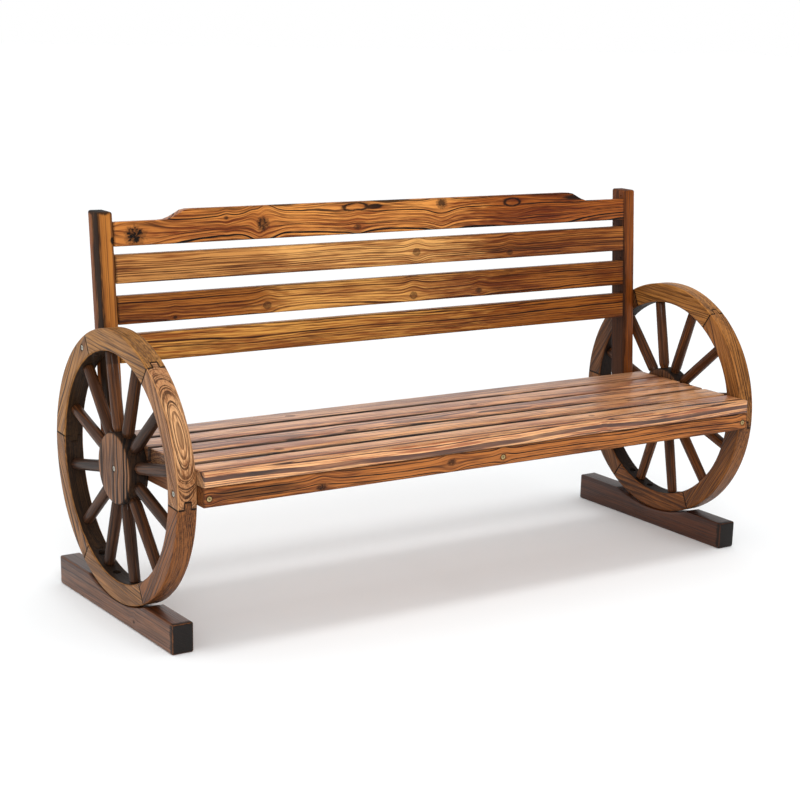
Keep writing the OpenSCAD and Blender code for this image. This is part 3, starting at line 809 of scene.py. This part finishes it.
rail_middle = 0.309
apron_screw_x, apron_screw_z = 0.658, 0.307
low, high, middle, half = bar_frame("front_apron")
apron = sawn_bar(low, high, along=0, cuts=90)
apron_screws = [(x, low[1], apron_screw_z) for x in (-apron_screw_x, 0.0, apron_screw_x)]
for place in apron_screws:
    drill(apron, place, Y)
ease(apron, width=0.002)
brush(apron, "seat_front_apron", "front_apron", depth=0.0006, seed=71.0, grain=(5, 40, 40))
wood = fir("front_apron", middle, grain_turn(X, Z), (half[0], half[2], half[1]),
           (178, 108, 52), (112, 60, 30), (46, 23, 16), heart=(0, 0.04, 0.05), ring=0.0042, wander=0.005,
           bold=0.8, scorch=0.3, stained=0.5, edge_burn=0.5, seed=71.0,
           knots=[((-0.422, -0.010), 0.0065, 1.6, 1.4, 0.9), ((-0.126, 0.002), 0.0065, 1.4, 1.5, 0.8)]
           + [screw_ring(x, -0.002) for x, y, z in apron_screws],
           marks=[((-0.56, 0.0, 0.0), (0.11, 0.013, 0.1), 0.55)])
dress(apron, wood)


def rail_fir(name, along, across, early, stain, dark, seed):
    """Plain sawn fir, hardly scorched, for the rails under the seat."""
    return fir(name, (0, -0.098, rail_middle), grain_turn(along, across), (1.0, 0.018, 1.0),
               early, stain, dark, heart=(0, 0.05, 0.06), ring=0.005, seed=seed, scorch=0.1)


rail_wood = rail_fir("rail_wood", X, Z, (140, 92, 62), (98, 60, 42), (56, 34, 26), 75.0)
cross_wood = rail_fir("cross_rail_wood", Y, Z, (138, 90, 60), (96, 58, 40), (54, 32, 26), 78.0)
for node, wood in (("rear_rail", rail_wood), ("left_side_rail", cross_wood), ("right_side_rail", cross_wood),
                   ("centre_rail", cross_wood)):
    paint(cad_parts[node], wood)

# The two fir posts, 32 x 46 mm, lean back with the slats between them, and are
# screwed to the wheels and the side rails. Their top edges are rounded, and the
# left one is charred down its side and black at the top.

lean = math.radians(4.5)
seat_high, post_front = 0.356, 0.1095
post_out, post_inner, post_half_wide, post_deep = 0.654, 0.638, 0.016, 0.046
nail_heights, nail_back = (0.7558, 0.7058, 0.6149, 0.5373), 0.013
post_looks = {
    "left": dict(
        early=(180, 114, 47), stain=(146, 86, 33), dark=(80, 42, 19), seed=81.0, stained=0.35, scorch=0.1,
        end_burn=1.0,
        marks=[((0.0, -0.020, -0.012), (0.7, 0.010, 0.0190), 0.95),
               ((0.184, 0.013, -0.023), (0.007, 0.005, 0.006), 0.95),
               ((0.242, 0.0, 0.0), (0.010, 0.05, 0.05), 0.9)],
        stains_and_shade=[((0.0, -0.018, 0.020), (0.5, 0.01, 0.022), 0.8),
                ((-0.02, -0.004, -0.023), (0.05, 0.010, 0.01), 0.7)]),
    "right": dict(
        early=(143, 76, 25), stain=(94, 46, 15), dark=(46, 22, 11), seed=84.0, stained=0.5, scorch=0.2,
        end_burn=0.5, marks=[((-0.05, -0.018, 0.0), (0.30, 0.009, 0.06), 0.78)])}
for side, look in post_looks.items():
    node = side + "_post"
    sign = 1 if side == "right" else -1
    low, high, middle = bar_frame(node)[:3]
    deep = post_deep / math.cos(lean)
    rise = high[2] - low[2]
    post = block((high[0] - low[0], deep, rise))
    post.location = (middle[0], low[1] + deep / 2, middle[2])
    bpy.ops.object.transform_apply(location=True, scale=True)
    # the top is pushed back by the lean
    choose(post, faces=lambda f: f.normal.z > 0.9)
    bpy.ops.transform.translate(value=(0, rise * math.tan(lean), 0))
    choose(post, edges=lambda e: abs(e.verts[0].co.z - e.verts[1].co.z) > 0.1)
    bpy.ops.mesh.subdivide(number_cuts=40)
    bpy.ops.object.mode_set(mode="OBJECT")
    ease(post, width=0.005, steps=4)
    for up in nail_heights:
        back = post_front + nail_back + (up - seat_high) * math.tan(lean)
        drill(post, (sign * post_inner, back, up), X, width=0.004, deep=0.002)
    brush(post, side + "_back_post", node, depth=0.0005, seed=look["seed"], grain=(40, 40, 6))
    upright = (0, math.sin(lean), math.cos(lean))
    wood = fir(node, (sign * post_out, middle[1], middle[2]), grain_turn(upright, X),
               (rise / 2 / math.cos(lean), post_half_wide, post_deep / 2), heart=(0, 0.03, -0.06),
               ring=0.0045, wander=0.003, bold=0.4, contrast=0.7, **look)
    dress(post, wood)

# The back has three plain slats and a top rail whose raised middle falls in
# curved shoulders to its ends. All are 24 mm fir, brushed after charring, and
# their ends meet the posts' inner faces. Each is painted darker towards its right
# end, as painted shade.

slat_half_long, slat_thick, slat_high, slat_inset = post_inner, 0.024, 0.0555, 0.001
slat_starts = (0.480, 0.5545, 0.633)


def back_board(start_up, board_high, cuts):
    """A board between the posts, from its height above the floor: its middle, half sizes and bar."""
    start = (start_up - seat_high) / math.cos(lean)
    y, z = slat_inset + slat_thick / 2, start + board_high / 2
    middle = Vector((0, post_front + y * math.cos(lean) + z * math.sin(lean),
                     seat_high - y * math.sin(lean) + z * math.cos(lean)))
    half = (slat_half_long, slat_thick / 2, board_high / 2)
    low, high = [m - h for m, h in zip(middle, half)], [m + h for m, h in zip(middle, half)]
    return middle, half, sawn_bar(low, high, 0, cuts, (-lean, 0, 0))


def back_shade_and_stain(left):
    """A painted shade over the right of every board, where the light falls off, and a stain as strong as
    asked on its left.
    """
    # the right third of each board is darkened as painted shade
    painted_shade_right = [((0.58, 0.0, 0.0), (0.42, 0.2, 0.2), 1.0)]
    return painted_shade_right + ([((-0.56, 0.0, 0.0), (0.30, 0.2, 0.2), left)] if left else [])


slat_turn = grain_turn(X, (0, math.sin(lean), math.cos(lean)))
slat_looks = [
    dict(early=(214, 152, 72), stain=(142, 80, 32), dark=(66, 31, 13), seed=91.0, stained=0.47, scorch=0.25,
         heart=(0, 0.05, -0.05), stains_and_shade=back_shade_and_stain(0.0)),
    dict(early=(222, 160, 82), stain=(140, 80, 36), dark=(70, 34, 15), seed=92.0, stained=0.45, scorch=0.1,
         heart=(0, -0.04, -0.04), stains_and_shade=back_shade_and_stain(0.95),
         knots=[((-0.309, -0.0116), 0.0068, 1.2, 1.3, 0.6), ((0.049, -0.0145), 0.0068, 1.2, 1.3, 0.6),
                ((0.222, -0.0147), 0.005, 1.5, 1.3, 0.7), ((-0.517, -0.021), 0.003, 1.5, 1.4, 0.8)]),
    dict(early=(228, 168, 96), stain=(152, 92, 44), dark=(76, 40, 19), seed=98.0, stained=0.45, scorch=0.1,
         heart=(0, 0.045, -0.05), stains_and_shade=back_shade_and_stain(0.55),
         knots=[((0.059, -0.002), 0.0070, 1.2, 1.3, 0.6), ((0.308, -0.015), 0.005, 1.5, 1.4, 0.7)])]
for index, look in enumerate(slat_looks):
    node = "back_slat_%d" % (index + 1)
    middle, half, slat = back_board(slat_starts[index], slat_high, cuts=90)
    ease(slat, width=0.0018)
    brush(slat, "back_board_%d" % (index + 1), node, depth=0.0005, seed=look["seed"], grain=(5, 40, 40))
    wood = fir(node, middle, slat_turn, (half[0], half[2], half[1]), ring=0.0029, wander=0.004, bold=0.72,
               edge_burn=0.5, **look)
    dress(slat, wood)

rail_start, end_high, crown_rise, crown_half, shoulder = 0.7035, 0.047, 0.0195, 0.483, 0.052
slope = math.atan(crown_rise / shoulder * 1.35)
hollow = 0.060


def rail_top(x):
    """Height of the top rail above its lower edge."""
    beside = crown_half + shoulder - abs(x)
    if beside <= 0:
        return end_high
    if beside < hollow * math.sin(slope):
        return end_high + hollow - math.sqrt(hollow ** 2 - beside ** 2)
    round_high, round_long = hollow * (1 - math.cos(slope)), hollow * math.sin(slope)
    return end_high + min(round_high + (beside - round_long) * math.tan(slope), crown_rise)


middle, half, top_rail = back_board(rail_start, end_high + crown_rise, cuts=255)
choose(top_rail, faces=lambda f: False)
mesh = bmesh.from_edit_mesh(top_rail.data)
for vertex in mesh.verts:
    if vertex.co.z > 0:
        vertex.co.z = -half[2] + rail_top(vertex.co.x)
bmesh.update_edit_mesh(top_rail.data)
bpy.ops.object.mode_set(mode="OBJECT")
ease(top_rail, width=0.0012, angle=60)
brush(top_rail, "back_top_rail", "top_rail", depth=0.0005, seed=95.0, grain=(5, 40, 40))
wood = fir("top_rail", middle, slat_turn, (half[0], half[2], half[1]),
           (224, 148, 72), (138, 70, 28), (50, 21, 10), heart=(0, -0.05, -0.03), ring=0.0039, seed=97.0,
           wander=0.007, bold=0.78, scorch=0.55, stained=0.52, edge_burn=0.5, stains_and_shade=back_shade_and_stain(0.45),
           knots=[((-0.594, -0.0128), 0.0165, 1.15, 1.5, 1.0), ((-0.312, -0.0037), 0.0130, 0.95, 1.9, 0.92),
                  ((-0.322, 0.026), 0.005, 1.1, 1.5, 1.0), ((0.126, 0.022), 0.010, 1.2, 1.5, 0.85),
                  ((0.315, 0.018), 0.0085, 2.4, 1.3, 0.0), ((-0.088, -0.019), 0.005, 1.6, 1.4, 0.7),
                  ((-0.092, 0.021), 0.0080, 3.6, 1.3, 0.0), ((-0.395, 0.012), 0.003, 1.6, 1.4, 0.8)],
           marks=[((0.0, 0.034, 0.0), (0.06, 0.006, 0.03), 0.9),
                  ((-0.045, 0.022, 0.012), (0.020, 0.006, 0.01), 0.9),
                  ((-0.26, 0.034, 0.0), (0.04, 0.006, 0.03), 0.8),
                  ((0.50, 0.022, 0.0), (0.045, 0.008, 0.03), 0.9)])
dress(top_rail, wood)

# Countersunk cross-head screws hold the wheels and the frame, and round bolts
# hold the wheels to the feet. The wheel screws are zinc plated, the frame's are
# brass plated, and the bolts are dark steel.

head_width, head_high = 0.0100, 0.0026
shank_long = 0.012
recess_long, recess_wide, recess_deep = 0.0056, 0.0011, 0.0015


def plated(name, colour, rough):
    """Plated steel, a little dulled and stained."""
    material = bpy.data.materials.new(name)
    material.use_nodes = True
    tree = material.node_tree
    dull = speckle(put(tree, "TexCoord").outputs["Object"], 300, 300, 2.0, 3.0) + 0.5
    fill(tree.nodes["Principled BSDF"].inputs, {
        "Base Color": blend(dull, tint(*colour), tint(*[c * 0.62 for c in colour])),
        "Roughness": dull * 0.25 + rough,
        "Metallic": 1.0})
    return material


def screw_head():
    """A countersunk head with a cross recess, its top at the origin, facing Z."""
    head = cylinder(head_width / 2, head_high, (0, 0, -head_high / 2), sides=40)
    bpy.ops.object.transform_apply(location=True)
    choose(head, faces=lambda f: f.normal.z < -0.9)
    bpy.ops.transform.resize(value=(0.5, 0.5, 1), center_override=(0, 0, -head_high))
    bpy.ops.mesh.extrude_region_move(TRANSFORM_OT_translate={"value": (0, 0, -shank_long)})
    bpy.ops.object.mode_set(mode="OBJECT")
    ease(head, width=0.0003, steps=2, angle=30)
    for turn in (0, math.pi / 2):
        cut_away(head, block((recess_long, recess_wide, 2 * recess_deep), (0, 0, turn)))
    return head


def set_screws(name, node, places, material):
    """Copies the screw head to each place, given as (top, outward way, turn)."""
    pattern = screw_head()
    heads = []
    for top, way, turn in places:
        head = copy_of(pattern)
        swing = Vector(Z).rotation_difference(Vector(way)).to_matrix().to_4x4()
        head.matrix_world = Matrix.Translation(Vector(top)) @ swing @ Matrix.Rotation(turn, 4, "Z")
        heads.append(head)
    bpy.data.objects.remove(pattern)
    take_up(heads[0])
    for head in heads:
        head.select_set(True)
    bpy.ops.object.transform_apply(location=True, rotation=True, scale=True)
    bpy.ops.object.join()
    piece = bpy.context.object
    settle(piece, name, node)
    smooth(piece, angle=30)
    dress(piece, material)


sink = 0.0006
rear_rail_back, side_rail_back, side_rail_out = 0.082, 0.068, 0.670
post_screw_out, post_back = 0.652, 0.15185
wheel_places = [(at_wheel(side, turn, radius, out * (rim_half - sink)), (out, 0, 0), twist)
                for side, out in (("left", -1), ("right", 1))
                for turn, radius, twist in ((0, 0, 0.5), (rear_screw_turn, screw_radius, 0.2),
                                            (front_screw_turn, screw_radius, 0.9))]
frame_places = [((x, y + sink, z), (0, -1, 0), x * 3) for x, y, z in apron_screws]
frame_places += [((0.012, rear_rail_back - sink, rail_middle), Y, 0.3)]
frame_places += [((out * (side_rail_out - sink), side_rail_back, rail_middle), (out, 0, 0), 0.7)
                 for out in (-1, 1)]
frame_places += [((out * post_screw_out, post_back - sink, rail_middle), Y, 1.0) for out in (-1, 1)]
zinc = plated("zinc_plate", (216, 212, 198), 0.25)
brass = plated("brass_plate", (220, 190, 132), 0.25)
black_steel = plated("black_steel", (70, 64, 58), 0.4)
set_screws("wheel_screw_heads", "wheel_screws", wheel_places, zinc)
set_screws("frame_screw_heads", "frame_screws", frame_places, brass)
paint(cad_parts["foot_bolts"], black_steel)
paint(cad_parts["slat_screws"], zinc)

# The bench stands on a plain floor, painted nearly white and quite dull, which is
# there for the shadow and is no part of it.

start_from_nothing()
bpy.ops.mesh.primitive_plane_add(size=60, location=(0, 0, 0))
floor = bpy.context.object
floor.name = "floor"
floor_paint = bpy.data.materials.new("floor_paint")
floor_paint.use_nodes = True
fill(floor_paint.node_tree.nodes["Principled BSDF"].inputs, {
    "Base Color": (0.926, 0.942, 0.950, 1), "Roughness": 0.9, "Specular IOR Level": 0.0})
paint(floor, floor_paint)

# The world is white to the camera and a little darker as light. In gloss it fades
# towards the front and the right, so that the varnish isn't washed out there. A
# large lamp lights the front, and a wide soft one stands almost overhead.

world = bpy.context.scene.world or bpy.data.worlds.new("studio")
bpy.context.scene.world = world
world.use_nodes = True
sky = world.node_tree
sky.nodes.clear()
path = put(sky, "LightPath").outputs
glossy = Number(path["Is Glossy Ray"])
x, y, z = split(put(sky, "TexCoord").outputs["Generated"])
in_gloss = glossy * (ramp(y, -0.45, 0.25, 0.15, 1.0) * fade(x, 0.42, 0.72, 0.6))
seen = highest(path["Is Camera Ray"], path["Is Transmission Ray"])
level = highest(seen, (1.0 - glossy) * 0.85, in_gloss)
back = put(sky, "Background", {"Color": (1, 1, 1, 1), "Strength": level})
put(sky, "OutputWorld", {"Surface": back.outputs[0]})


def lamp(name, place, aim, size, power):
    """A square soft lamp."""
    data = bpy.data.lights.new(name, "AREA")
    data.size = size
    data.energy = power
    made = bring_in(name, data)
    made.location = place
    made.rotation_euler = (Vector(aim) - Vector(place)).to_track_quat("-Z", "Y").to_euler()


lamp("key_lamp", place=(-2.5, -5.0, 3.0), aim=(0, 0, 0.4), size=2.5, power=120)
high_light = bpy.data.lights.new("high_lamp", "SUN")
high_light.energy = 0.78
high_light.angle = math.radians(15)
bring_in("high_lamp", high_light).rotation_euler = (math.radians(8.5), 0, 0)

# The camera stands where the photograph was taken from, in front of the bench and
# to its left, and is tilted by about two degrees.

lens = bpy.data.cameras.new("photo_camera")
lens.lens = 82.15
lens.sensor_width = 36
lens.shift_x = -0.0953
lens.shift_y = 0.1856
camera = bring_in("photo_camera", lens)
stand = (-2.1471, -3.0998, 1.1940)
yaw, pitch, roll = math.radians(36.496), math.radians(16.943), math.radians(2.098)
ahead = Vector((math.sin(yaw) * math.cos(pitch), math.cos(yaw) * math.cos(pitch), -math.sin(pitch)))
right = ahead.cross(Vector(Z)).normalized()
up = right.cross(ahead)
right, up = right * math.cos(roll) + up * math.sin(roll), up * math.cos(roll) - right * math.sin(roll)
camera.matrix_world = Matrix.Translation(stand) @ Matrix((right, up, -ahead)).transposed().to_4x4()
bpy.context.scene.camera = camera
bpy.context.scene.view_settings.view_transform = "Standard"
